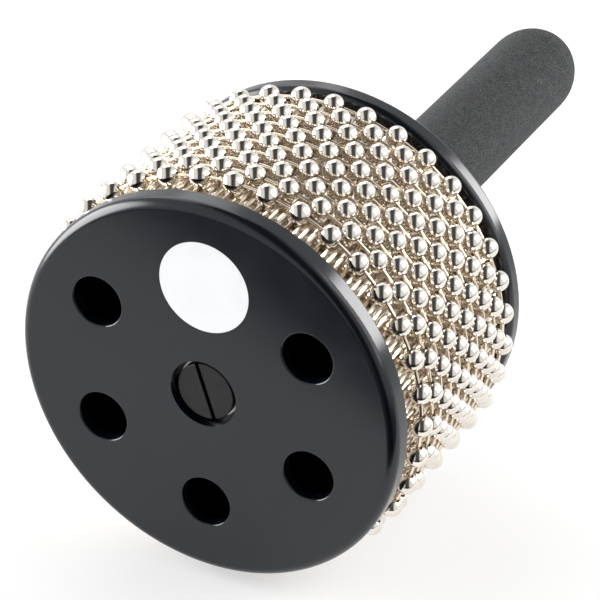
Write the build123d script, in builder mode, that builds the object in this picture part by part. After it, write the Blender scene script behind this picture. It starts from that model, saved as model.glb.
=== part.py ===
"""Cabasa: a vented drum head on a foam-gripped handle, wrapped in loops of steel ball chain.

The axis of the head and handle is +Y. The origin is the middle of the grip's straight stretch, the
handle points along +Y, and +Z is up, so the instrument lies on its beads as it does on a table.
All sizes are in millimetres and all angles in degrees.
"""

from build123d import *
from math import atan2, cos, degrees, pi, radians, sin, sqrt
import os

# Driving dimensions of the ball chain
bead_diameter = 6.2
bead_wall = 0.4
bead_pitch = 10.1
loop_count = 10
loop_bead_gap = 1.4
link_rod_diameter = 1.1
link_head_clearance = 0.2
link_hole_clearance = 0.13
first_bead_angle = 0.6
front_loop_slip = 2.0
front_loop_lead = 0.7

# Driving dimensions of the ridged sleeve and the barrel under it
sleeve_diameter = 109.0
sleeve_wall = 1.0
sleeve_clearance = 0.4
ridge_pitch = 1.9
ridge_depth = 0.3
barrel_wall = 3.0
barrel_fit = 0.1

# Driving dimensions of the front cap
cap_length = 7.6
cap_plate = 3.2
cap_skirt_wall = 3.3
cap_skirt_clearance = 0.2
cap_edge_radius = 2.9
cap_back_edge_radius = 0.8
cap_to_chain = 5.6
register_wall = 2.4
register_length = 6.0
register_clearance = 0.15

# Driving dimensions of the vents and the badge on the front face
vent_diameter = 15.0
vent_circle_radius = 37.1
vent_count = 5
vent_step = 60.0
vent_angle = 150.6
vent_centre_x = -0.3
vent_centre_z = 1.7
vent_edge_radius = 0.5
badge_diameter = 27.0
badge_thickness = 0.4
badge_gap = 0.05
badge_x = 0.8
badge_z = 33.7

# Driving dimensions of the clamp screw, its washer and the spacer tube
counterbore_diameter = 20.2
screw_recess = 1.25
screw_head_diameter = 17.2
screw_head_thickness = 2.6
screw_head_edge = 0.4
screw_slot_width = 1.3
screw_slot_depth = 1.4
screw_slot_angle = 108.0
screw_diameter = 6.0
screw_end_gap = 2.0
screw_clearance = 0.2
thread_clearance = 0.05
washer_diameter = 18.2
washer_thickness = 1.0
hub_wall = 3.4
hub_floor = 4.0
spacer_wall = 3.5

# Driving dimensions of the rear flange
flange_length = 6.3
flange_plate = 3.2
flange_overhang = 3.2
flange_front_radius = 2.4
flange_back_radius = 1.2
chain_to_flange = 3.1

# Driving dimensions of the handle
grip_diameter = 28.8
grip_wall = 4.4
grip_length = 151.9
grip_dome_length = 17.8
grip_gap = 0.1
grip_mouth_radius = 0.8
tenon_diameter = 16.0
tenon_length = 7.6
tenon_clearance = 0.15
insert_wall = 2.2
insert_length = 16.0

# Chain: beads ride just off the ridges, and neighbouring loops nest half a step apart
bead_radius = bead_diameter / 2
sleeve_radius = sleeve_diameter / 2
ring_radius = sleeve_radius + sleeve_clearance + bead_radius
beads_per_loop = round(2 * pi * ring_radius / bead_pitch)
bead_step = 360 / beads_per_loop
half_step = radians(bead_step / 2)
link_chord = 2 * ring_radius * sin(half_step)
stagger_chord = 2 * ring_radius * sin(half_step / 2)
loop_spacing = sqrt((bead_diameter + loop_bead_gap) ** 2 - stagger_chord**2)

# Link heads: two share the hollow of a bead and are too large for its holes
cavity_radius = bead_radius - bead_wall
link_head_radius = (2 * cavity_radius - 3 * link_head_clearance) / 4
link_head_offset = link_head_radius + link_head_clearance / 2
link_length = link_chord - 2 * link_head_offset
bead_hole_radius = link_rod_diameter / 2 + bead_radius * sin(half_step) + link_hole_clearance

# Handle stations along the axis, with the origin in the middle of the grip's straight stretch
grip_straight = grip_length - grip_mouth_radius - grip_dome_length
grip_start_y = -grip_straight / 2 - grip_mouth_radius
grip_end_y = grip_start_y + grip_length
dome_start_y = grip_end_y - grip_dome_length
core_end_y = dome_start_y - grip_gap

# Head stations, from the back of the flange to the front face
head_end_y = grip_start_y - grip_gap
flange_plate_y = head_end_y - flange_plate
flange_front_y = head_end_y - flange_length
tenon_end_y = head_end_y - tenon_length
socket_floor_y = tenon_end_y - tenon_clearance
flange_hub_y = socket_floor_y - hub_floor
last_loop_y = flange_front_y - chain_to_flange - bead_radius
first_loop_y = last_loop_y - (loop_count - 1) * loop_spacing
cap_end_y = first_loop_y - bead_radius - cap_to_chain
front_y = cap_end_y - cap_length
cap_plate_y = front_y + cap_plate
register_end_y = cap_plate_y + register_length
sleeve_start_y = cap_plate_y + cap_skirt_clearance
sleeve_length = flange_front_y - sleeve_start_y

# Screw stations, from its recessed face backwards
screw_face_y = front_y + screw_recess
screw_seat_y = screw_face_y + screw_head_thickness
counterbore_y = screw_seat_y + washer_thickness
hub_end_y = counterbore_y + hub_floor
insert_end_y = tenon_end_y + insert_length
screw_end_y = insert_end_y - screw_end_gap

# Radii that follow from the fits
cap_skirt_bore = sleeve_radius + cap_skirt_clearance
cap_radius = cap_skirt_bore + cap_skirt_wall
flange_radius = sleeve_radius + flange_overhang
sleeve_bore = sleeve_radius - sleeve_wall
barrel_radius = sleeve_bore - barrel_fit
barrel_bore = barrel_radius - barrel_wall
register_radius = barrel_bore - register_clearance
register_bore = register_radius - register_wall
screw_radius = screw_diameter / 2
screw_head_radius = screw_head_diameter / 2
screw_slot_length = screw_head_diameter + screw_slot_width
screw_hole_radius = screw_radius + screw_clearance
counterbore_radius = counterbore_diameter / 2
cap_hub_radius = counterbore_radius + hub_wall
spacer_radius = screw_hole_radius + spacer_wall
tenon_radius = tenon_diameter / 2
socket_radius = tenon_radius + tenon_clearance
flange_hub_radius = socket_radius + hub_wall
vent_radius = vent_diameter / 2
grip_radius = grip_diameter / 2
grip_bore = grip_radius - grip_wall
core_radius = grip_bore - grip_gap
dome_side_radius = grip_dome_length**2 / grip_radius
dome_offset = dome_side_radius - grip_radius
dome_reach = dome_side_radius - grip_dome_length
dome_turn = degrees(atan2(dome_offset**2 - dome_reach**2, 2 * dome_reach * dome_offset))
insert_bore = screw_radius + thread_clearance
insert_radius = insert_bore + insert_wall
insert_hole_radius = insert_radius + thread_clearance

# Flutes that leave the sleeve's ridges standing between them
ridge_count = round(pi * sleeve_diameter / ridge_pitch)
flute_radius = ((ridge_pitch / 2) ** 2 + ridge_depth**2) / (2 * ridge_depth)
flute_centre = sleeve_radius - ridge_depth + flute_radius

os.makedirs("parts", exist_ok=True)


def ring_section(inner, outer, start, end):
    """Add the half section of a ring between two radii and two stations on the axis."""
    with Locations(((inner + outer) / 2, (start + end) / 2)):
        Rectangle(outer - inner, end - start)


def rim_corners(section):
    """Return the corners of a half section that stand furthest out, from front to back."""
    return section.vertices().group_by(Axis.X)[-1].sort_by(Axis.Y)


front_plane = Plane.XZ.offset(-front_y)

# Front cap: face plate, skirt over the sleeve, register inside the barrel, hub for the screw
with BuildPart() as front_cap:
    with BuildSketch() as cap_section:
        ring_section(screw_hole_radius, cap_radius, front_y, cap_plate_y)
        ring_section(cap_skirt_bore, cap_radius, front_y, cap_end_y)
        ring_section(register_bore, register_radius, front_y, register_end_y)
        ring_section(screw_hole_radius, cap_hub_radius, front_y, hub_end_y)
        fillet(rim_corners(cap_section)[0], cap_edge_radius)
        fillet(rim_corners(cap_section)[-1], cap_back_edge_radius)
    revolve(axis=Axis.Y)
    with BuildSketch(front_plane):
        Circle(counterbore_radius)
    extrude(amount=front_y - counterbore_y, mode=Mode.SUBTRACT)
    with BuildSketch(front_plane):
        with Locations((badge_x, badge_z)):
            Circle(badge_diameter / 2 + badge_gap)
    extrude(amount=-badge_thickness, mode=Mode.SUBTRACT)
    with BuildSketch(front_plane):
        with Locations((vent_centre_x, vent_centre_z)):
            with PolarLocations(vent_circle_radius, vent_count, vent_angle, vent_count * vent_step):
                Circle(vent_radius)
    extrude(amount=-cap_plate, mode=Mode.SUBTRACT)
    face_edges = front_cap.edges().group_by(Axis.Y)[0]
    vent_edges = face_edges.filter_by(lambda edge: abs(edge.radius - vent_radius) < vent_edge_radius)
    fillet(vent_edges, vent_edge_radius)
front_cap.part.label = "front_cap"
export_step(front_cap.part, "parts/front_cap.step")

# Badge: a plain disc let into the face, flush with it
with BuildPart() as badge_disc:
    with BuildSketch(front_plane):
        with Locations((badge_x, badge_z)):
            Circle(badge_diameter / 2)
    extrude(amount=-badge_thickness)
badge_disc.part.label = "badge_disc"
export_step(badge_disc.part, "parts/badge_disc.step")

# Clamp screw: slotted head in the counterbore, shank through the head into the handle
with BuildPart() as clamp_screw:
    with BuildSketch() as screw_section:
        ring_section(0, screw_head_radius, screw_face_y, screw_seat_y)
        ring_section(0, screw_radius, screw_face_y, screw_end_y)
        fillet(rim_corners(screw_section)[0], screw_head_edge)
    revolve(axis=Axis.Y)
    with BuildSketch(Plane.XZ.offset(-screw_face_y)):
        Rectangle(screw_slot_length, screw_slot_width, rotation=screw_slot_angle)
    extrude(amount=-screw_slot_depth, mode=Mode.SUBTRACT)
clamp_screw.part.label = "clamp_screw"
export_step(clamp_screw.part, "parts/clamp_screw.step")

# Washer under the screw head
with BuildPart() as screw_washer:
    with BuildSketch():
        ring_section(screw_hole_radius, washer_diameter / 2, screw_seat_y, counterbore_y)
    revolve(axis=Axis.Y)
screw_washer.part.label = "screw_washer"
export_step(screw_washer.part, "parts/screw_washer.step")

# Spacer tube: takes the clamp load between the two hubs
with BuildPart() as spacer_tube:
    with BuildSketch():
        ring_section(screw_hole_radius, spacer_radius, hub_end_y, flange_hub_y)
    revolve(axis=Axis.Y)
spacer_tube.part.label = "spacer_tube"
export_step(spacer_tube.part, "parts/spacer_tube.step")

# Ridged sleeve: thin steel tube with fine flutes along the axis for the beads to rasp on
with BuildPart() as ridged_sleeve:
    with BuildSketch(Plane.XZ.offset(-sleeve_start_y)):
        Circle(sleeve_radius)
        with PolarLocations(flute_centre, ridge_count):
            Circle(flute_radius, mode=Mode.SUBTRACT)
        Circle(sleeve_bore, mode=Mode.SUBTRACT)
    extrude(amount=-sleeve_length)
ridged_sleeve.part.label = "ridged_sleeve"
export_step(ridged_sleeve.part, "parts/ridged_sleeve.step")

# Drum barrel: the tube that carries the sleeve between cap and flange
with BuildPart() as drum_barrel:
    with BuildSketch():
        ring_section(barrel_bore, barrel_radius, cap_plate_y, flange_front_y)
    revolve(axis=Axis.Y)
drum_barrel.part.label = "drum_barrel"
export_step(drum_barrel.part, "parts/drum_barrel.step")

# Rear flange: rounded rim, register inside the barrel, hub with the socket for the handle
with BuildPart() as rear_flange:
    with BuildSketch() as flange_section:
        ring_section(screw_hole_radius, flange_radius, flange_plate_y, head_end_y)
        ring_section(register_bore, flange_radius, flange_front_y, head_end_y)
        ring_section(register_bore, register_radius, flange_front_y - register_length, head_end_y)
        ring_section(screw_hole_radius, flange_hub_radius, flange_hub_y, head_end_y)
        fillet(rim_corners(flange_section)[0], flange_front_radius)
        fillet(rim_corners(flange_section)[-1], flange_back_radius)
    revolve(axis=Axis.Y)
    with BuildSketch(Plane.XZ.offset(-head_end_y)):
        Circle(socket_radius)
    extrude(amount=head_end_y - socket_floor_y, mode=Mode.SUBTRACT)
rear_flange.part.label = "rear_flange"
export_step(rear_flange.part, "parts/rear_flange.step")

# Handle core: rod with a tenon in the flange, bored for the insert
with BuildPart() as handle_core:
    with BuildSketch():
        ring_section(0, core_radius, head_end_y, core_end_y)
        ring_section(0, tenon_radius, tenon_end_y, head_end_y)
    revolve(axis=Axis.Y)
    with BuildSketch(Plane.XZ.offset(-tenon_end_y)):
        Circle(insert_hole_radius)
    extrude(amount=-insert_length, mode=Mode.SUBTRACT)
handle_core.part.label = "handle_core"
export_step(handle_core.part, "parts/handle_core.step")

# Threaded insert: brass bush in the tenon that the screw pulls against
with BuildPart() as threaded_insert:
    with BuildSketch():
        ring_section(insert_bore, insert_radius, tenon_end_y, insert_end_y)
    revolve(axis=Axis.Y)
threaded_insert.part.label = "threaded_insert"
export_step(threaded_insert.part, "parts/threaded_insert.step")

# Foam grip: sleeve over the handle core with a closed, domed end
with BuildPart() as foam_grip:
    with BuildSketch() as grip_section:
        with BuildLine():
            Polyline(
                (0, grip_end_y),
                (0, dome_start_y),
                (grip_bore, dome_start_y),
                (grip_bore, grip_start_y),
                (grip_radius, grip_start_y),
                (grip_radius, dome_start_y),
            )
            shoulder = CenterArc((-dome_offset, dome_start_y), dome_side_radius, 0, dome_turn)
            TangentArc(shoulder @ 1, (0, grip_end_y), tangent=shoulder % 1)
        make_face()
        fillet(rim_corners(grip_section)[0], grip_mouth_radius)
    revolve(axis=Axis.Y)
foam_grip.part.label = "foam_grip"
export_step(foam_grip.part, "parts/foam_grip.step")

# One hollow bead, bored along its local Y
with BuildPart() as bead:
    with BuildSketch():
        Circle(bead_radius)
        Circle(cavity_radius, mode=Mode.SUBTRACT)
        with Locations((bead_hole_radius - bead_radius, 0)):
            Rectangle(2 * bead_radius, bead_diameter, mode=Mode.SUBTRACT)
    revolve(axis=Axis.Y)

# One link along its local Y: a rod with a round head at each end
with BuildPart() as link:
    with BuildSketch():
        ring_section(0, link_rod_diameter / 2, -link_length / 2, link_length / 2)
        with Locations((0, link_length / 2), (0, -link_length / 2)):
            Circle(link_head_radius)
        with Locations((-bead_radius / 2, 0)):
            Rectangle(bead_radius, link_chord, mode=Mode.SUBTRACT)
    revolve(axis=Axis.Y)

# Chain loops: a ring of beads, and the links on the chords between them
for loop in range(loop_count):
    loop_number = f"{loop + 1:02d}"
    loop_y = first_loop_y + loop * loop_spacing
    bead_angle = first_bead_angle + (loop % 2) * bead_step / 2
    if loop == 0:
        loop_y = loop_y - front_loop_lead
        bead_angle = bead_angle - front_loop_slip
    loop_plane = Plane.XZ.offset(-loop_y)
    with BuildPart(loop_plane) as loop_beads:
        with PolarLocations(ring_radius, beads_per_loop, bead_angle):
            add(bead.part)
    loop_beads.part.label = f"chain_beads_{loop_number}"
    export_step(loop_beads.part, f"parts/chain_beads_{loop_number}.step")
    with BuildPart(loop_plane) as loop_links:
        with PolarLocations(ring_radius * cos(half_step), beads_per_loop, bead_angle + bead_step / 2):
            add(link.part)
    loop_links.part.label = f"chain_links_{loop_number}"
    export_step(loop_links.part, f"parts/chain_links_{loop_number}.step")
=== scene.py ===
"""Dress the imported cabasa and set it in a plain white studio, seen as in the photograph.

The axis of the head and handle is +Y, the origin is the middle of the grip and +Z is up. Sizes are in metres.
"""

from __future__ import annotations

import logging
import math
from dataclasses import dataclass
from enum import Enum

import bmesh
import bpy
from mathutils import Matrix, Vector

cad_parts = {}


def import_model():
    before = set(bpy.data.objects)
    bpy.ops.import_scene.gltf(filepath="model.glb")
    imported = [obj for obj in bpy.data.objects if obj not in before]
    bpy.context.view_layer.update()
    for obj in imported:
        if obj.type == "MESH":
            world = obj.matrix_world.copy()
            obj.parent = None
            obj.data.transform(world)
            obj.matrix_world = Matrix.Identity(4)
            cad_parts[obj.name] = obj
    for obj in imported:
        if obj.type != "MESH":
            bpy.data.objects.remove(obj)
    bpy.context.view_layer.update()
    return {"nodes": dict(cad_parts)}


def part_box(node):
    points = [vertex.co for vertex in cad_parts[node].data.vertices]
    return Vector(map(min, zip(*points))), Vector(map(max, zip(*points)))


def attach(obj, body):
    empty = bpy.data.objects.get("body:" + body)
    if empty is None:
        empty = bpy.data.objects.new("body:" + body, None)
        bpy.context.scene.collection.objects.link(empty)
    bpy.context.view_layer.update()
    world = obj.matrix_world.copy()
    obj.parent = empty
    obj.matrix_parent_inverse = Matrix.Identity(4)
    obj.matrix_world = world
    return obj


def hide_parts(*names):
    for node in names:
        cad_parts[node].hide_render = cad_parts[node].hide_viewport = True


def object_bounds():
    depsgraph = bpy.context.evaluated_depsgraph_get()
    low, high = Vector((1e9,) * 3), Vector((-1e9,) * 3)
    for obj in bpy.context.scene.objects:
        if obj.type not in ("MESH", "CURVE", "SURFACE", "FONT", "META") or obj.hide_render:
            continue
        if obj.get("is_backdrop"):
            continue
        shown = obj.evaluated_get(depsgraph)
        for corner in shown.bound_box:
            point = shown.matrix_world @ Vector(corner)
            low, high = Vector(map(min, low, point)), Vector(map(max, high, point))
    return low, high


LOG = logging.getLogger("cabasa")
MM = 0.001
FRAME_PX = 600
WHITE = "#ffffff"
# Most of a noise texture's values lie between these two
NOISE_LOW = 0.35
NOISE_HIGH = 0.65
# Corners of loose triangles nearer than this are one point
WELD_GAP = 0.001 * MM
# How strongly large faces pull the shading of their edges flat
FLAT_WEIGHT = 60


class Body(Enum):
    """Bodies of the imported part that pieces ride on."""

    HEAD = "head"


class Slot(Enum):
    """Material slots of the record; no piece here takes its finish from them."""

    FOAM = "foam"


def linear(colour: str) -> tuple[float, float, float, float]:
    """Turn an sRGB hex colour into a linear RGBA value.

    Args:
        colour: Six hex digits with a leading hash.

    Returns:
        Linear red, green, blue and an alpha of one.
    """
    channels = [int(colour[i : i + 2], 16) / 255 for i in (1, 3, 5)]
    red, green, blue = (c / 12.92 if c <= 0.04045 else ((c + 0.055) / 1.055) ** 2.4 for c in channels)
    return red, green, blue, 1.0


def add_node(
    tree: bpy.types.NodeTree, kind: str, settings: dict | None = None, inputs: dict | None = None
) -> bpy.types.Node:
    """Add a node, set its properties and fill or link its inputs.

    Args:
        tree: The node tree that takes the node.
        kind: The node's type name.
        settings: Property values by name.
        inputs: Values or output sockets by input name or index.

    Returns:
        The new node.
    """
    node = tree.nodes.new(kind)
    for name, value in (settings or {}).items():
        setattr(node, name, value)
    for key, value in (inputs or {}).items():
        if isinstance(value, bpy.types.NodeSocket):
            tree.links.new(value, node.inputs[key])
        else:
            node.inputs[key].default_value = value
    return node


def new_material(name: str) -> tuple[bpy.types.Material, bpy.types.NodeTree, bpy.types.Node]:
    """Start a material with one principled shader.

    Args:
        name: The material's name.

    Returns:
        The material, its node tree and its principled shader.
    """
    material = bpy.data.materials.new(name)
    material.use_nodes = True
    tree = material.node_tree
    tree.nodes.clear()
    shader = add_node(tree, "ShaderNodeBsdfPrincipled")
    add_node(tree, "ShaderNodeOutputMaterial", inputs={"Surface": shader.outputs["BSDF"]})
    return material, tree, shader


def set_ramp(node: bpy.types.Node, stops: list[tuple[float, str]]) -> None:
    """Set the stops of a colour ramp.

    Args:
        node: The ramp node.
        stops: Pairs of position and sRGB hex colour.
    """
    elements = node.color_ramp.elements
    while len(elements) > len(stops):
        elements.remove(elements[-1])
    for index, (place, colour) in enumerate(stops):
        element = elements[index] if index < len(elements) else elements.new(place)
        element.position = place
        element.color = linear(colour)


@dataclass(frozen=True)
class Finish:
    """A surface finish with a mottled colour, a mottled roughness and a fine bump.

    Attributes:
        name: The real material and how its surface was made.
        dark: The darker colour of the mottle.
        light: The lighter colour of the mottle.
        rough_low: The lowest roughness.
        rough_high: The highest roughness.
        mottle_mm: The size of the mottle.
        grain_mm: The size of the bump's grain.
        bump: The bump's strength.
        bump_mm: The bump's height.
        metallic: One for bare metal, zero otherwise.
        stretch: Scale of the grain along X, Y and Z.
        specular: Specular level of the shader.
    """

    name: str
    dark: str
    light: str
    rough_low: float
    rough_high: float
    mottle_mm: float
    grain_mm: float
    bump: float
    bump_mm: float
    metallic: float = 0.0
    stretch: tuple[float, float, float] = (1.0, 1.0, 1.0)
    specular: float = 0.5

    def make(self) -> bpy.types.Material:
        """Build the material.

        Returns:
            The finished material.
        """
        material, tree, shader = new_material(self.name)
        place = add_node(tree, "ShaderNodeTexCoord")
        scaled = add_node(
            tree,
            "ShaderNodeMapping",
            inputs={"Vector": place.outputs["Object"], "Scale": self.stretch},
        )
        mottle = add_node(
            tree,
            "ShaderNodeTexNoise",
            inputs={"Vector": scaled.outputs["Vector"], "Scale": 1 / (self.mottle_mm * MM), "Detail": 4.0},
        )
        colour = add_node(tree, "ShaderNodeValToRGB", inputs={"Fac": mottle.outputs["Fac"]})
        set_ramp(colour, [(NOISE_LOW, self.dark), (NOISE_HIGH, self.light)])
        rough = add_node(
            tree,
            "ShaderNodeMapRange",
            inputs={
                "Value": mottle.outputs["Fac"],
                "From Min": NOISE_LOW,
                "From Max": NOISE_HIGH,
                "To Min": self.rough_low,
                "To Max": self.rough_high,
            },
        )
        grain = add_node(
            tree,
            "ShaderNodeTexNoise",
            inputs={"Vector": scaled.outputs["Vector"], "Scale": 1 / (self.grain_mm * MM), "Detail": 2.0},
        )
        bump = add_node(
            tree,
            "ShaderNodeBump",
            inputs={"Height": grain.outputs["Fac"], "Strength": self.bump, "Distance": self.bump_mm * MM},
        )
        tree.links.new(colour.outputs["Color"], shader.inputs["Base Color"])
        tree.links.new(rough.outputs["Result"], shader.inputs["Roughness"])
        tree.links.new(bump.outputs["Normal"], shader.inputs["Normal"])
        shader.inputs["Metallic"].default_value = self.metallic
        shader.inputs["Specular IOR Level"].default_value = self.specular
        return material


@dataclass(frozen=True)
class FoamFinish:
    """Closed-cell foam: a matt dark skin with fine open cells, with painted shade in the cells and a painted
    highlight on the cell walls.

    Attributes:
        name: The material's name.
        cell_mm: The size of a cell.
        cloud_cells: The size of the soft clouds of light and dark, in cells.
        cloud_share: How much of the colour the clouds give.
        painted_cell_shade: The colour in the cells, a painted shade.
        skin: The colour of the skin.
        painted_wall_highlight: The colour of the cell walls, a painted highlight where they catch the light.
        bump: The bump's strength.
        bump_mm: The depth of a cell.
        roughness: The roughness of the skin.
        specular: Specular level of the shader.
    """

    name: str = "closed_cell_foam"
    cell_mm: float = 0.35
    cloud_cells: float = 6.0
    cloud_share: float = 0.1
    # Painted shade: the darker colour in the foam's cells
    painted_cell_shade: str = "#1f2021"
    skin: str = "#3a3b3c"
    # Painted highlight: the lighter colour on the cell walls
    painted_wall_highlight: str = "#626364"
    bump: float = 0.6
    bump_mm: float = 0.25
    roughness: float = 0.9
    specular: float = 0.25

    def make(self) -> bpy.types.Material:
        """Build the material.

        Returns:
            The finished material.
        """
        material, tree, shader = new_material(self.name)
        place = add_node(tree, "ShaderNodeTexCoord").outputs["Object"]
        cells = add_node(
            tree,
            "ShaderNodeTexNoise",
            inputs={"Vector": place, "Scale": 1 / (self.cell_mm * MM), "Detail": 3.0, "Roughness": 0.7},
        )
        cloud = add_node(
            tree,
            "ShaderNodeTexNoise",
            inputs={"Vector": place, "Scale": 1 / (self.cloud_cells * self.cell_mm * MM), "Detail": 2.0},
        )
        blended = add_node(
            tree,
            "ShaderNodeMix",
            {"data_type": "FLOAT"},
            {"Factor": self.cloud_share, "A": cells.outputs["Fac"], "B": cloud.outputs["Fac"]},
        )
        colour = add_node(tree, "ShaderNodeValToRGB", inputs={"Fac": blended.outputs["Result"]})
        # Low cell values, the pits of the bump, take the painted shade and high ones, the cell walls, take the
        # painted highlight
        set_ramp(colour, [(0.36, self.painted_cell_shade), (0.5, self.skin), (0.66, self.painted_wall_highlight)])
        bump = add_node(
            tree,
            "ShaderNodeBump",
            inputs={"Height": cells.outputs["Fac"], "Strength": self.bump, "Distance": self.bump_mm * MM},
        )
        tree.links.new(colour.outputs["Color"], shader.inputs["Base Color"])
        tree.links.new(bump.outputs["Normal"], shader.inputs["Normal"])
        shader.inputs["Roughness"].default_value = self.roughness
        shader.inputs["Specular IOR Level"].default_value = self.specular
        return material


# Moulded ABS: nearly black with a cool cast, satin, with the fine grain of a spark-eroded mould
BLACK_ABS = Finish(
    "moulded_black_abs",
    dark="#090d14",
    light="#0c1119",
    rough_low=0.16,
    rough_high=0.19,
    mottle_mm=9.0,
    grain_mm=0.35,
    bump=0.03,
    bump_mm=0.03,
)
# The barrel is the same plastic, left dull as moulded
BARREL_ABS = Finish(
    "moulded_barrel_abs",
    dark="#141517",
    light="#191a1c",
    rough_low=0.5,
    rough_high=0.6,
    mottle_mm=9.0,
    grain_mm=0.4,
    bump=0.1,
    bump_mm=0.05,
)
# Label film: smooth white with a faint cool cast
WHITE_LABEL = Finish(
    "white_label_film",
    dark="#eceeef",
    light="#f0f2f3",
    rough_low=0.3,
    rough_high=0.36,
    mottle_mm=12.0,
    grain_mm=0.6,
    bump=0.02,
    bump_mm=0.02,
)
# Blackened steel: dull brown-black oxide on a turned head, which hides the metal's shine
BLACK_SCREW = Finish(
    "black_oxide_steel",
    dark="#131112",
    light="#191617",
    rough_low=0.34,
    rough_high=0.42,
    mottle_mm=3.0,
    grain_mm=0.25,
    bump=0.05,
    bump_mm=0.04,
    specular=0.35,
)
# Nickel plate on pressed beads: mirror bright, slightly warm
NICKEL_BEAD = Finish(
    "polished_nickel_plate",
    dark="#e6ded4",
    light="#efe9e1",
    rough_low=0.05,
    rough_high=0.09,
    mottle_mm=4.0,
    grain_mm=0.5,
    bump=0.01,
    bump_mm=0.01,
    metallic=1.0,
)
# Drawn nickel-plated wire: a little duller and warmer than the beads
NICKEL_LINK = Finish(
    "drawn_nickel_wire",
    dark="#e9d9c4",
    light="#f0e3d0",
    rough_low=0.1,
    rough_high=0.16,
    mottle_mm=1.5,
    grain_mm=0.2,
    bump=0.02,
    bump_mm=0.01,
    metallic=1.0,
)
# Rolled stainless sheet: bright between its ridges, with rolling marks along the axis
RIDGED_STEEL = Finish(
    "rolled_stainless",
    dark="#d2c5b3",
    light="#e2d7c8",
    rough_low=0.14,
    rough_high=0.2,
    mottle_mm=3.0,
    grain_mm=0.3,
    bump=0.02,
    bump_mm=0.01,
    metallic=1.0,
    stretch=(1.0, 0.2, 1.0),
)
# Zinc plate: pale grey with a soft spangle
ZINC_WASHER = Finish(
    "zinc_plated_steel",
    dark="#a6a8a8",
    light="#bcbebd",
    rough_low=0.3,
    rough_high=0.42,
    mottle_mm=2.0,
    grain_mm=0.2,
    bump=0.03,
    bump_mm=0.02,
    metallic=1.0,
)
# Drawn aluminium tube: pale with fine lines along its length
DRAWN_TUBE = Finish(
    "drawn_aluminium",
    dark="#b8babd",
    light="#c6c8ca",
    rough_low=0.28,
    rough_high=0.38,
    mottle_mm=4.0,
    grain_mm=0.2,
    bump=0.03,
    bump_mm=0.02,
    metallic=1.0,
    stretch=(1.0, 0.1, 1.0),
)
# Turned brass: yellow with fine turning marks round the axis
TURNED_BRASS = Finish(
    "turned_brass",
    dark="#b8923f",
    light="#c7a24f",
    rough_low=0.2,
    rough_high=0.3,
    mottle_mm=2.0,
    grain_mm=0.15,
    bump=0.03,
    bump_mm=0.02,
    metallic=1.0,
    stretch=(0.3, 3.0, 0.3),
)
# Beech dowel: pale brown with long grain along the handle
BEECH_DOWEL = Finish(
    "turned_beech",
    dark="#b58d62",
    light="#c79f73",
    rough_low=0.5,
    rough_high=0.6,
    mottle_mm=3.0,
    grain_mm=0.4,
    bump=0.08,
    bump_mm=0.05,
    stretch=(1.0, 0.08, 1.0),
)


def shade_node(node: bpy.types.Object, angle_deg: float) -> None:
    """Shade a CAD node smoothly between its sharp edges, leaving its mesh's points alone.

    Args:
        node: The node's object.
        angle_deg: Edges that turn by more than this stay sharp.
    """
    for face in node.data.polygons:
        face.use_smooth = True
    weld = node.modifiers.new("join_triangles", "WELD")
    weld.merge_threshold = WELD_GAP
    split = node.modifiers.new("sharp_edges", "EDGE_SPLIT")
    split.split_angle = math.radians(angle_deg)
    split.use_edge_sharp = False
    flat = node.modifiers.new("flat_faces_flat", "WEIGHTED_NORMAL")
    flat.mode = "FACE_AREA_WITH_ANGLE"
    flat.weight = FLAT_WEIGHT


def dress(node: bpy.types.Object, material: bpy.types.Material) -> None:
    """Give an object one material.

    Args:
        node: The object.
        material: Its material.
    """
    node.data.materials.clear()
    node.data.materials.append(material)


@dataclass
class Head:
    """The drum head: cap, badge, screw and its seat, sleeve, barrel and flange.

    Attributes:
        nodes: The CAD nodes by name.
        sharp_deg: Edges that turn by more than this stay sharp.
    """

    nodes: dict[str, bpy.types.Object]
    sharp_deg: float = 30.0

    def dress(self) -> None:
        """Shade the head's CAD nodes and give them their finishes."""
        abs_black = BLACK_ABS.make()
        finishes = {
            "front_cap": abs_black,
            "rear_flange": abs_black,
            "badge_disc": WHITE_LABEL.make(),
            "clamp_screw": BLACK_SCREW.make(),
            "screw_washer": ZINC_WASHER.make(),
            "spacer_tube": DRAWN_TUBE.make(),
            "ridged_sleeve": RIDGED_STEEL.make(),
            "drum_barrel": BARREL_ABS.make(),
        }
        for name, material in finishes.items():
            shade_node(self.nodes[name], self.sharp_deg)
            dress(self.nodes[name], material)
            LOG.info("dressed %s", name)


@dataclass
class ChainPack:
    """The ten loops of ball chain.

    Attributes:
        nodes: The CAD nodes by name.
        loops: How many loops there are.
        sharp_deg: Edges that turn by more than this stay sharp.
    """

    nodes: dict[str, bpy.types.Object]
    loops: int = 10
    sharp_deg: float = 50.0

    def dress(self) -> None:
        """Shade the beads and links and give them their nickel finishes."""
        bead = NICKEL_BEAD.make()
        link = NICKEL_LINK.make()
        for number in range(1, self.loops + 1):
            for kind, material in (("beads", bead), ("links", link)):
                node = self.nodes[f"chain_{kind}_{number:02d}"]
                shade_node(node, self.sharp_deg)
                dress(node, material)
                LOG.info("dressed %s", node.name)


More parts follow.
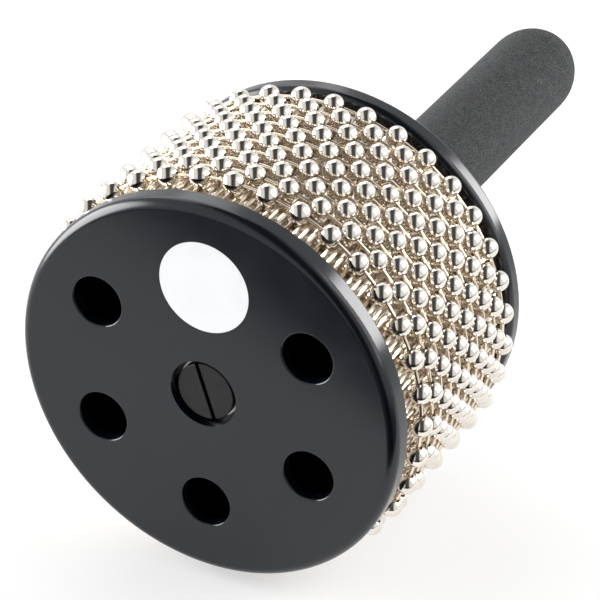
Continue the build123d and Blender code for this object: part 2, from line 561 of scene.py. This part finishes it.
@dataclass
class Handle:
    """The handle: rod, insert and foam grip.

    Attributes:
        nodes: The CAD nodes by name.
        sharp_deg: Edges of the rod and insert that turn by more than this stay sharp.
        foam_sharp_deg: Edges of the foam that turn by more than this stay sharp.
        wall: Thickness of the foam.
        dome: Length of the rounded end.
        mouth_round: Rounding of the foam's edge at the flange.
        mouth_steps: Rings of faces on that rounding.
        dome_steps: Rings of faces on the rounded end.
        sides: Faces round the grip.
        rings: Rings of faces along the straight part.
    """

    nodes: dict[str, bpy.types.Object]
    sharp_deg: float = 30.0
    foam_sharp_deg: float = 50.0
    wall: float = 4.4 * MM
    dome: float = 17.8 * MM
    mouth_round: float = 0.8 * MM
    mouth_steps: int = 3
    dome_steps: int = 12
    sides: int = 64
    rings: int = 40

    def foam_outline(self) -> list[tuple[float, float]]:
        """Draw half of the foam's section, from the bore's end round the mouth to the tip.

        Returns:
            Pairs of distance from the axis and place along it.
        """
        low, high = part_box("foam_grip")
        radius = (high.x - low.x) / 2
        start, end = low.y, high.y
        straight_end = end - self.dome
        bore = radius - self.wall
        corner = Vector((radius - self.mouth_round, start + self.mouth_round))
        outline = [(0.0, straight_end), (bore, straight_end), (bore, start), (corner.x, start)]
        for step in range(1, self.mouth_steps + 1):
            turn = math.pi / 2 * step / self.mouth_steps
            out = self.mouth_round * math.sin(turn)
            outline.append((corner.x + out, corner.y - self.mouth_round * math.cos(turn)))
        length = straight_end - corner.y
        outline += [(radius, corner.y + length * ring / self.rings) for ring in range(1, self.rings)]
        for step in range(self.dome_steps + 1):
            turn = math.pi / 2 * step / self.dome_steps
            outline.append((radius * math.cos(turn), straight_end + self.dome * math.sin(turn)))
        return outline

    def build_foam(self) -> bpy.types.Object:
        """Model the foam grip as a closed, turned sleeve.

        Returns:
            The grip's object.
        """
        mesh = bmesh.new()
        points = [mesh.verts.new((x, y, 0.0)) for x, y in self.foam_outline()]
        edges = [mesh.edges.new(pair) for pair in zip(points, points[1:])]
        bmesh.ops.spin(
            mesh,
            geom=points + edges,
            cent=(0, 0, 0),
            axis=(0, 1, 0),
            angle=math.tau,
            steps=self.sides,
            use_merge=True,
        )
        bmesh.ops.remove_doubles(mesh, verts=mesh.verts, dist=0.01 * MM)
        bmesh.ops.recalc_face_normals(mesh, faces=mesh.faces)
        data = bpy.data.meshes.new("foam_grip_sleeve")
        mesh.to_mesh(data)
        mesh.free()
        data.shade_smooth()
        data.set_sharp_from_angle(angle=math.radians(self.foam_sharp_deg))
        piece = bpy.data.objects.new("foam_grip_sleeve", data)
        bpy.context.scene.collection.objects.link(piece)
        return piece

    def dress(self) -> None:
        """Finish the rod and insert, and put the modelled foam in place of its plain solid."""
        for name, finish in (("handle_core", BEECH_DOWEL), ("threaded_insert", TURNED_BRASS)):
            shade_node(self.nodes[name], self.sharp_deg)
            dress(self.nodes[name], finish.make())
            LOG.info("dressed %s", name)
        foam = self.build_foam()
        dress(foam, FoamFinish().make())
        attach(foam, Body.HEAD.value)
        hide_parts("foam_grip")
        LOG.info("modelled %s", foam.name)


@dataclass(frozen=True)
class Lamp:
    """A soft rectangular lamp that faces the drum.

    Attributes:
        name: The lamp's name.
        offset: Its place, from the drum's middle.
        size: Its width and height.
        watts: Its power.
    """

    name: str
    offset: Vector
    size: tuple[float, float]
    watts: float

    def hang(self, target: Vector) -> None:
        """Hang the lamp.

        Args:
            target: The drum's middle, which it faces.
        """
        data = bpy.data.lights.new(self.name, "AREA")
        data.shape = "RECTANGLE"
        data.size, data.size_y = self.size
        data.energy = self.watts
        lamp = bpy.data.objects.new(self.name, data)
        lamp.location = target + self.offset
        lamp.rotation_euler = (-self.offset).to_track_quat("-Z", "Y").to_euler()
        bpy.context.scene.collection.objects.link(lamp)


@dataclass
class Studio:
    """White floor, soft light and the photograph's camera.

    A span holds the two values between which a light fades in. They are components of the direction that is looked
    in: sideways or backward as the camera has it, upward, or towards the left softbox.

    Attributes:
        azimuth_deg: The camera's bearing round +Z from straight in front.
        elevation_deg: The camera's height above the axis.
        focal_px: Focal length in pixels of the photograph.
        distance: From the camera's plane to the front face's centre, along the view.
        face_centre_px: Where the front face's centre lies in the photograph.
        sensor_mm: Width of the camera's sensor.
        view_reach: How far the camera sees.
        floor_width: Width of the floor across the view.
        floor_front: How far the floor reaches from the front face towards the camera.
        floor_back: How far the floor reaches from the front face away from the camera.
        floor_colour: The floor's own colour.
        floor_glow: Light that comes up through the floor.
        bar_span: Sideways, from the dark bar behind the camera to the light beside it.
        bar_end: Backward, from the dark bar to the light ahead of the camera.
        bar_level: Light from the dark bar.
        fill_level: Light from all round.
        backdrop_span: Backward, from the sides to the backdrop behind the part.
        backdrop_level: Light from the backdrop.
        left_bearing_deg: Bearing of the left softbox, from -X towards the front.
        left_span: Towards the left softbox, across its soft edge.
        left_foot: Upward, across the softbox's lower edge.
        left_level: Light from the left softbox.
        low_span: Upward, from the horizon to the shade below the floor's front edge.
        low_facing: Backward, from the backdrop's side to that shade.
        low_front_share: Share of the light that is left in that shade.
    """

    azimuth_deg: float = 27.88
    elevation_deg: float = 31.33
    focal_px: float = 3000.0
    distance: float = 0.8095
    face_centre_px: tuple[float, float] = (203.1, 394.1)
    sensor_mm: float = 36.0
    view_reach: float = 20.0
    floor_width: float = 0.6
    floor_front: float = 0.09
    floor_back: float = 0.4
    floor_colour: str = "#cfcfcf"
    floor_glow: float = 0.42
    bar_span: tuple[float, float] = (0.22, 0.5)
    bar_end: tuple[float, float] = (0.1, -0.3)
    bar_level: float = 0.07
    fill_level: float = 0.86
    backdrop_span: tuple[float, float] = (-0.25, -0.6)
    backdrop_level: float = 0.9
    left_bearing_deg: float = 14.0
    left_span: tuple[float, float] = (0.8, 0.92)
    left_foot: tuple[float, float] = (-0.3, -0.15)
    left_level: float = 11.0
    low_span: tuple[float, float] = (-0.15, -0.4)
    low_facing: tuple[float, float] = (-0.2, 0.1)
    low_front_share: float = 0.2

    def axes(self) -> tuple[Vector, Vector, Vector]:
        """Work out how the camera is turned.

        Returns:
            Its right, up and backward directions.
        """
        azimuth = math.radians(self.azimuth_deg)
        elevation = math.radians(self.elevation_deg)
        right = Vector((math.cos(azimuth), math.sin(azimuth), 0.0))
        back = Vector(
            (
                math.sin(azimuth) * math.cos(elevation),
                -math.cos(azimuth) * math.cos(elevation),
                math.sin(elevation),
            )
        )
        return right, back.cross(right), back

    def add_camera(self) -> None:
        """Place the camera so that the front face's centre falls on its pixel."""
        right, up, back = self.axes()
        face = Vector((0.0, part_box("front_cap")[0].y, 0.0))
        middle = FRAME_PX / 2
        across = (middle - self.face_centre_px[0]) / self.focal_px * self.distance
        above = (self.face_centre_px[1] - middle) / self.focal_px * self.distance
        data = bpy.data.cameras.new("photo_camera")
        data.sensor_width = self.sensor_mm
        data.lens = self.sensor_mm * self.focal_px / FRAME_PX
        data.clip_end = self.view_reach
        camera = bpy.data.objects.new("photo_camera", data)
        place = face + back * self.distance + right * across + up * above
        turn = Matrix((right, up, back)).transposed().to_4x4()
        camera.matrix_world = Matrix.Translation(place) @ turn
        bpy.context.scene.collection.objects.link(camera)
        bpy.context.scene.camera = camera

    def add_floor(self) -> None:
        """Lay a pale floor under the beads."""
        low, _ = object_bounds()
        mesh = bmesh.new()
        bmesh.ops.create_grid(mesh, x_segments=1, y_segments=1, size=0.5)
        length = self.floor_front + self.floor_back
        bmesh.ops.scale(mesh, verts=mesh.verts, vec=(self.floor_width, length, 1.0))
        bmesh.ops.translate(mesh, verts=mesh.verts, vec=(0.0, length / 2 - self.floor_front, 0.0))
        spin = Matrix.Rotation(math.radians(self.azimuth_deg), 3, "Z")
        bmesh.ops.rotate(mesh, verts=mesh.verts, cent=(0, 0, 0), matrix=spin)
        bmesh.ops.translate(mesh, verts=mesh.verts, vec=(0.0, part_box("front_cap")[0].y, low.z))
        data = bpy.data.meshes.new("studio_floor")
        mesh.to_mesh(data)
        mesh.free()
        floor = bpy.data.objects.new("studio_floor", data)
        bpy.context.scene.collection.objects.link(floor)
        # Acrylic sheet lit from below: matt and even, so that only a faint shadow stays on it
        material, _, shader = new_material("lit_acrylic_floor")
        shader.inputs["Base Color"].default_value = linear(self.floor_colour)
        shader.inputs["Emission Color"].default_value = linear(WHITE)
        shader.inputs["Emission Strength"].default_value = self.floor_glow
        shader.inputs["Roughness"].default_value = 0.9
        shader.inputs["Specular IOR Level"].default_value = 0.0
        dress(floor, material)
        floor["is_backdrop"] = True

    def add_lights(self) -> None:
        """Hang a large soft lamp to the right of the camera, one overhead and a strip behind the flange."""
        right, _, back = self.axes()
        low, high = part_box("drum_barrel")
        target = (low + high) / 2
        level_back = Vector((back.x, back.y, 0.0)).normalized()
        beside = right * 0.9 + level_back * 0.15 + Vector((0.0, 0.0, 0.5))
        lamps = (
            Lamp("right_softbox", beside, size=(0.7, 0.9), watts=4.0),
            Lamp("top_softbox", Vector((-0.6, 0.6, 0.8)), size=(0.8, 0.8), watts=2.5),
            Lamp("rear_strip", Vector((0.61, 0.755, 0.3)), size=(0.3, 0.5), watts=5.0),
        )
        for lamp in lamps:
            lamp.hang(target)

    def studio_light(self, tree: bpy.types.NodeTree) -> tuple[bpy.types.NodeSocket, bpy.types.NodeSocket]:
        """Work out the light that comes from each direction.

        Args:
            tree: The world's node tree.

        Returns:
            The light's strength, and how far the direction lies in the backdrop.
        """
        right, _, back = self.axes()
        bearing = math.radians(self.left_bearing_deg)
        left = Vector((-math.cos(bearing), -math.sin(bearing), 0.0))
        view = add_node(tree, "ShaderNodeTexCoord").outputs["Generated"]
        across, behind, leftness = (
            add_node(tree, "ShaderNodeVectorMath", {"operation": "DOT_PRODUCT"}, {0: view, 1: way}).outputs["Value"]
            for way in (right, back, left)
        )
        height = add_node(tree, "ShaderNodeSeparateXYZ", inputs={"Vector": view}).outputs["Z"]
        sideways = add_node(tree, "ShaderNodeMath", {"operation": "ABSOLUTE"}, {0: across}).outputs[0]
        beside, ahead, backdrop, leftward, raised, below, facing = (
            add_node(
                tree,
                "ShaderNodeMapRange",
                {"interpolation_type": "SMOOTHSTEP"},
                {"Value": value, "From Min": span[0], "From Max": span[1]},
            ).outputs["Result"]
            for value, span in (
                (sideways, self.bar_span),
                (behind, self.bar_end),
                (behind, self.backdrop_span),
                (leftness, self.left_span),
                (height, self.left_foot),
                (height, self.low_span),
                (behind, self.low_facing),
            )
        )
        lit = add_node(tree, "ShaderNodeMath", {"operation": "MAXIMUM"}, {0: beside, 1: ahead}).outputs[0]
        softbox = add_node(tree, "ShaderNodeMath", {"operation": "MINIMUM"}, {0: leftward, 1: raised}).outputs[0]
        low_front = add_node(tree, "ShaderNodeMath", {"operation": "MINIMUM"}, {0: below, 1: facing}).outputs[0]
        fill_light, backdrop_light, softbox_light, kept = (
            add_node(
                tree, "ShaderNodeMapRange", inputs={"Value": value, "To Min": least, "To Max": most}
            ).outputs["Result"]
            for value, least, most in (
                (lit, self.bar_level, self.fill_level),
                (backdrop, 0.0, self.backdrop_level - self.fill_level),
                (softbox, 0.0, self.left_level - self.fill_level),
                (low_front, 1.0, self.low_front_share),
            )
        )
        strength = fill_light
        for operation, other in (("ADD", backdrop_light), ("ADD", softbox_light), ("MULTIPLY", kept)):
            strength = add_node(tree, "ShaderNodeMath", {"operation": operation}, {0: strength, 1: other}).outputs[0]
        return strength, backdrop

    def add_world(self) -> None:
        """Fill with the studio's light; the camera and reflections see a white backdrop."""
        world = bpy.data.worlds.new("white_studio")
        world.use_nodes = True
        tree = world.node_tree
        tree.nodes.clear()
        strength, backdrop = self.studio_light(tree)
        path = add_node(tree, "ShaderNodeLightPath")
        mirrored = add_node(
            tree,
            "ShaderNodeMath",
            {"operation": "MAXIMUM"},
            {0: path.outputs["Is Glossy Ray"], 1: path.outputs["Is Transmission Ray"]},
        )
        backdrop_seen = add_node(
            tree, "ShaderNodeMath", {"operation": "MULTIPLY"}, {0: mirrored.outputs[0], 1: backdrop}
        )
        white_seen = add_node(
            tree,
            "ShaderNodeMath",
            {"operation": "MAXIMUM"},
            {0: path.outputs["Is Camera Ray"], 1: backdrop_seen.outputs[0]},
        )
        light = add_node(tree, "ShaderNodeBackground", inputs={"Color": linear(WHITE), "Strength": strength})
        white = add_node(tree, "ShaderNodeBackground", inputs={"Color": linear(WHITE), "Strength": 1.0})
        shown = add_node(
            tree,
            "ShaderNodeMixShader",
            inputs={"Fac": white_seen.outputs[0], 1: light.outputs[0], 2: white.outputs[0]},
        )
        add_node(tree, "ShaderNodeOutputWorld", inputs={"Surface": shown.outputs[0]})
        bpy.context.scene.world = world

    def build(self) -> None:
        """Build the whole studio."""
        self.add_floor()
        self.add_lights()
        self.add_world()
        self.add_camera()
        bpy.context.scene.view_settings.view_transform = "Standard"


def main() -> None:
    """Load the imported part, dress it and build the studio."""
    logging.basicConfig(level=logging.INFO, format="%(name)s: %(message)s")
    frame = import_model()
    nodes = frame["nodes"]
    Head(nodes).dress()
    ChainPack(nodes).dress()
    Handle(nodes).dress()
    Studio().build()


if __name__ == "__main__":
    main()
